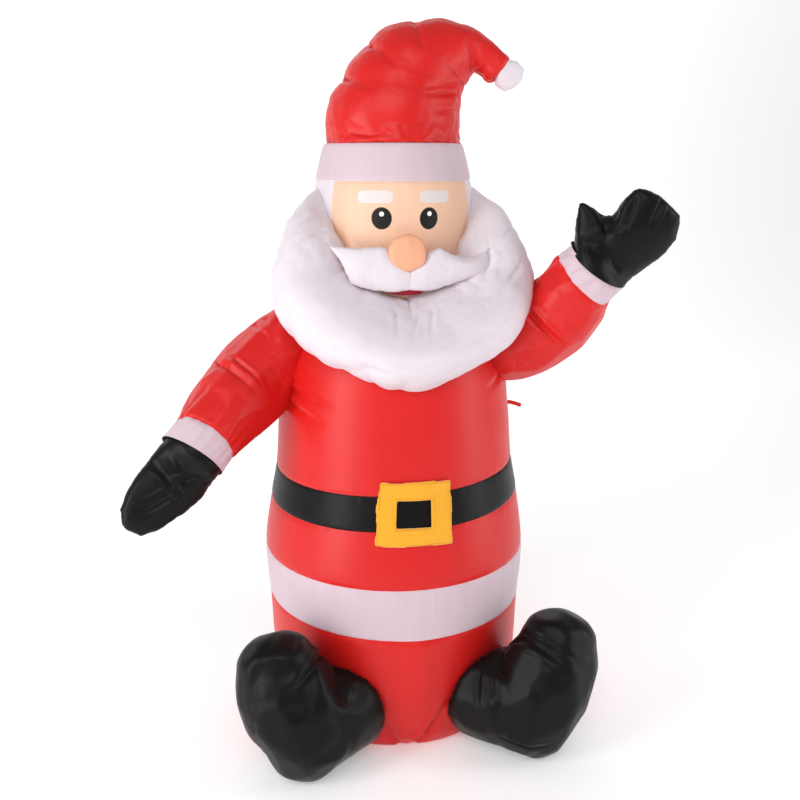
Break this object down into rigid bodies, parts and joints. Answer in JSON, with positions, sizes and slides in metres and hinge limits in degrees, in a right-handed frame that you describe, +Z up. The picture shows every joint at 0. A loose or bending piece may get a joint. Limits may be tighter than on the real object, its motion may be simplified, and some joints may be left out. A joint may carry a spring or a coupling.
{
  "type": "inflatable santa figure",
  "caption": "Inflated fabric Santa, seated with legs forward and one arm raised to wave, with a leaning gathered hat, a padded beard, a belt with a buckle, and mittens and boots.",
  "frame": {"origin": "centre of the coat's flat underside, on the ground", "axes": "+Z up to the hat, the figure faces -Y, and its left arm, the raised one, is at +X"},
  "size_m": [0.8618, 0.5523, 1.2012],
  "materials": {
    "red_nylon": "satin nylon taffeta",
    "white_nylon": "satin nylon taffeta",
    "black_nylon": "satin nylon taffeta",
    "skin_nylon": "satin nylon taffeta",
    "yellow_felt": "matt felt"
  },
  "bodies": {
    "root": {"coat": "red_nylon", "belt": "black_nylon", "coat_band": "white_nylon", "buckle": "yellow_felt", "head": "white_nylon", "face": "skin_nylon", "hat_trim": "white_nylon", "hat": "red_nylon", "pompom": "white_nylon", "beard": "white_nylon", "moustache": "white_nylon", "nose": "skin_nylon", "left_sleeve": "red_nylon", "left_cuff": "white_nylon", "left_mitten": "black_nylon", "right_sleeve": "red_nylon", "right_cuff": "white_nylon", "right_mitten": "black_nylon", "left_boot": "black_nylon", "right_boot": "black_nylon", "left_tether_tab": "red_nylon", "right_tether_tab": "red_nylon"}
  },
  "joints": []
}
